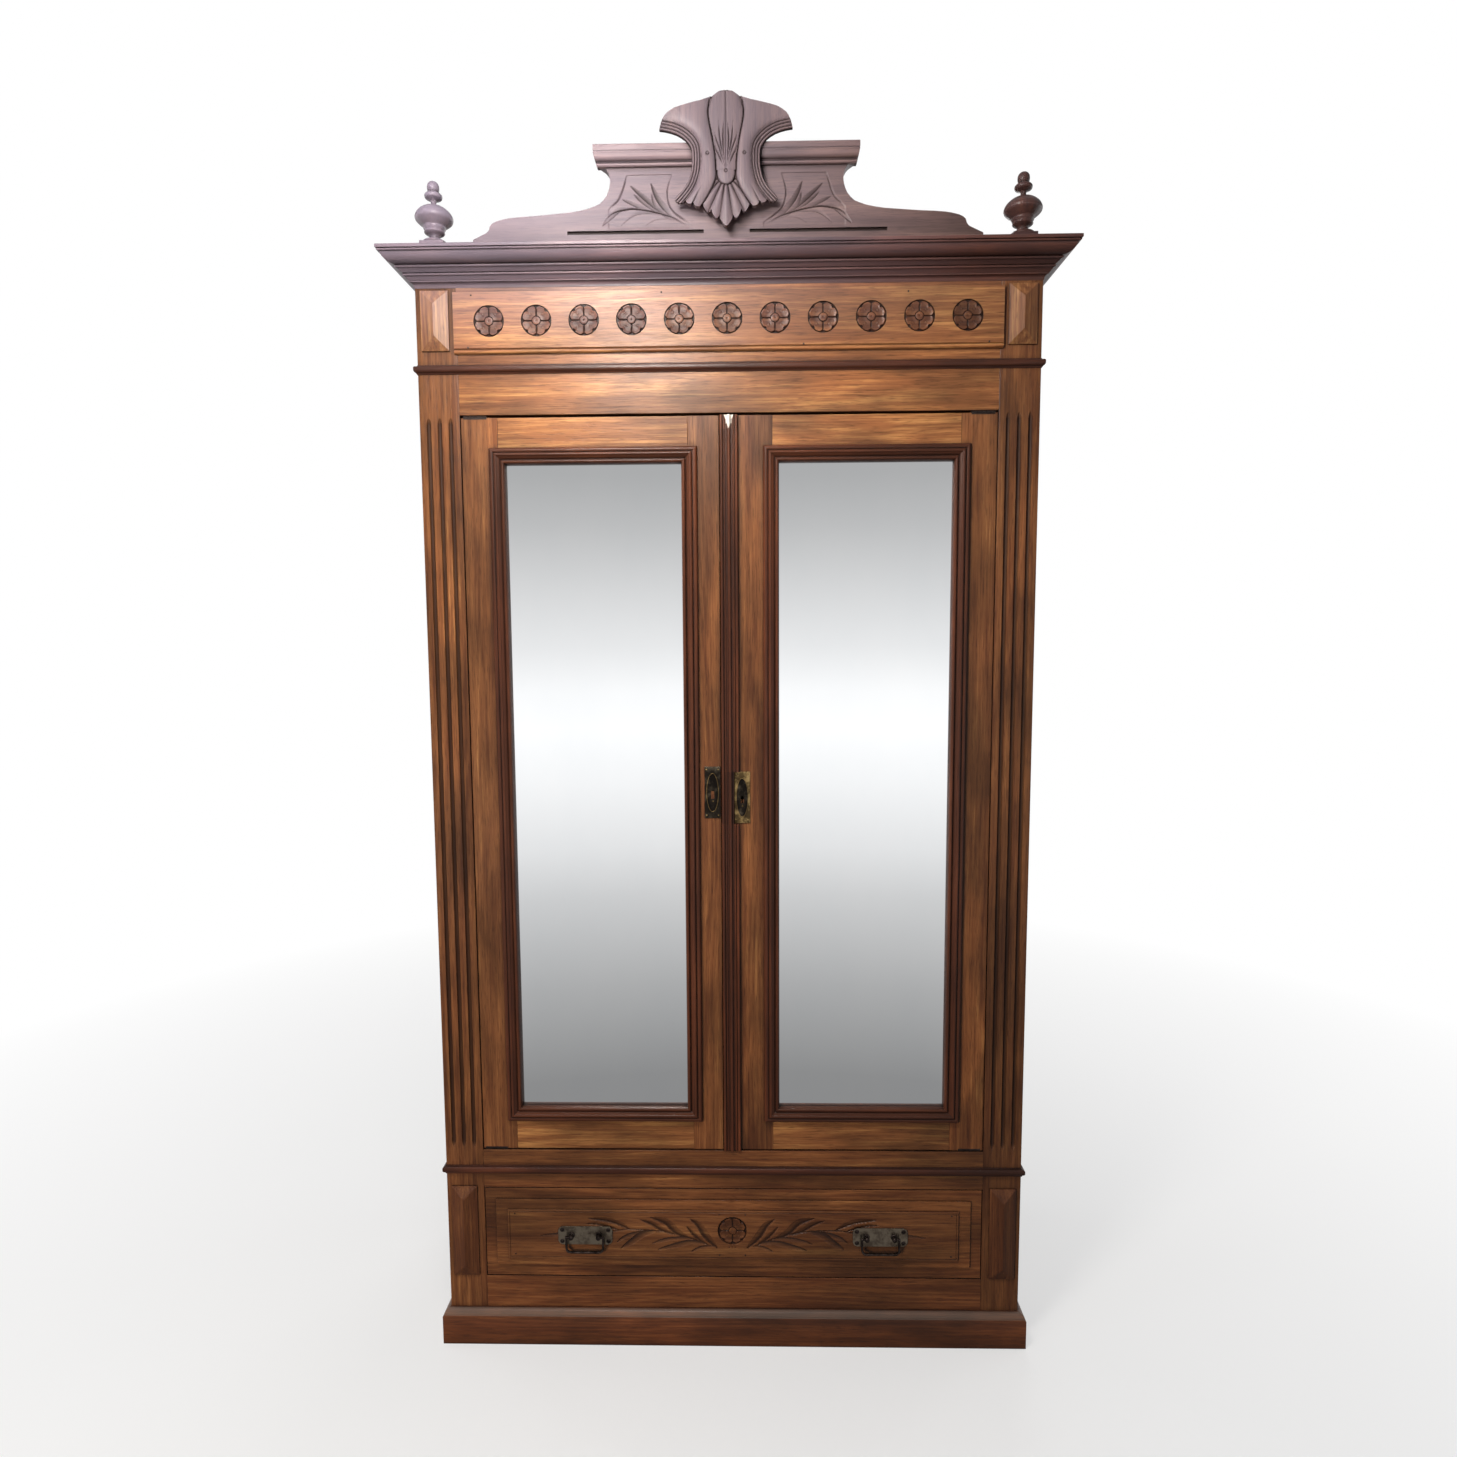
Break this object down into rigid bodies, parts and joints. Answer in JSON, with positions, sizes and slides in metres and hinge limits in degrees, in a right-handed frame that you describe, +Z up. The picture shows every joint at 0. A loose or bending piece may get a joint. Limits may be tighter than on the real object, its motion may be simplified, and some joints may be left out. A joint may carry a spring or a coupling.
{
  "type": "armoire",
  "caption": "Tall two-door mirrored armoire with a bottom drawer, carved frieze, wide cornice and a shaped crest with turned finials.",
  "frame": {"origin": "on the floor, at the centre of the whole object's footprint", "axes": "+Z up, the doors and drawer face -Y, +X to the right seen from the front"},
  "size_m": [1.254, 0.532, 2.39],
  "materials": {
    "walnut": "waxed figured walnut, honey to mid brown, worn",
    "dark_walnut": "dark stained moulded walnut, satin",
    "plain_wood": "unfinished softwood, dry",
    "mirror": "silvered plate glass",
    "brass": "aged brass, rubbed",
    "bronze": "dark patinated bronze",
    "iron": "dark wrought iron"
  },
  "bodies": {
    "carcass": {"front_left_post": "walnut", "front_right_post": "walnut", "rear_frame": "plain_wood", "side_rails": "walnut", "side_panels": "walnut", "frieze_rail": "walnut", "door_head_rail": "walnut", "waist_rail": "walnut", "bottom_rail": "walnut", "back_boards": "plain_wood", "floor_board": "plain_wood", "top_board": "plain_wood", "plinth": "dark_walnut", "waist_moulding": "dark_walnut", "head_moulding": "dark_walnut", "cornice": "dark_walnut", "frieze_board": "walnut", "frieze_rosettes": "walnut", "corner_blocks": "walnut", "crest_board": "walnut", "crest_cap": "walnut", "crest_shell": "walnut", "left_finial": "dark_walnut", "right_finial": "dark_walnut", "shelf": "plain_wood", "shelf_cleats": "plain_wood", "hanging_rail": "brass", "rail_sockets": "plain_wood", "drawer_runners": "plain_wood", "door_stops": "plain_wood", "frame_hinge_plates": "brass"},
    "left_door": {"left_door_stiles": "walnut", "left_door_rails": "walnut", "left_door_moulding": "dark_walnut", "left_mirror": "mirror", "left_mirror_backing": "plain_wood", "left_escutcheon": "bronze", "left_hinge_plates": "brass", "bolt_guides": "brass", "lock_keeper": "brass"},
    "right_door": {"right_door_stiles": "walnut", "right_door_rails": "walnut", "right_door_moulding": "dark_walnut", "right_mirror": "mirror", "right_mirror_backing": "plain_wood", "astragal": "dark_walnut", "right_escutcheon": "brass", "right_hinge_plates": "brass", "lock_case": "brass"},
    "drawer": {"drawer_front": "walnut", "drawer_box": "plain_wood", "drawer_bottom": "plain_wood", "pull_plates": "bronze", "pull_posts": "iron"},
    "left_handle": {"left_bail": "iron"},
    "right_handle": {"right_bail": "iron"},
    "door_top_bolt": {"top_bolt": "brass"},
    "door_bottom_bolt": {"bottom_bolt": "brass"},
    "lock_tongue": {"lock_bolt": "brass"}
  },
  "joints": [
    {"name": "left_door_hinge", "type": "hinge", "parent": "carcass", "child": "left_door", "pos_m": [-0.4864, -0.207, 1.12], "axis": [0, 0, -1], "range_deg": [0, 110]},
    {"name": "right_door_hinge", "type": "hinge", "parent": "carcass", "child": "right_door", "pos_m": [0.4864, -0.207, 1.12], "axis": [0, 0, 1], "range_deg": [0, 110]},
    {"name": "drawer_slide", "type": "slide", "parent": "carcass", "child": "drawer", "axis": [0, -1, 0], "range_m": [0, 0.34]},
    {"name": "left_handle_swing", "type": "hinge", "parent": "drawer", "child": "left_handle", "pos_m": [-0.296, -0.23, 0.232], "axis": [-1, 0, 0], "range_deg": [0, 100]},
    {"name": "right_handle_swing", "type": "hinge", "parent": "drawer", "child": "right_handle", "pos_m": [0.296, -0.23, 0.232], "axis": [-1, 0, 0], "range_deg": [0, 100]},
    {"name": "top_bolt_slide", "type": "slide", "parent": "left_door", "child": "door_top_bolt", "axis": [0, 0, 1], "range_m": [0, 0.014]},
    {"name": "bottom_bolt_slide", "type": "slide", "parent": "left_door", "child": "door_bottom_bolt", "axis": [0, 0, -1], "range_m": [0, 0.014]},
    {"name": "lock_bolt_slide", "type": "slide", "parent": "right_door", "child": "lock_tongue", "axis": [-1, 0, 0], "range_m": [0, 0.012]}
  ]
}
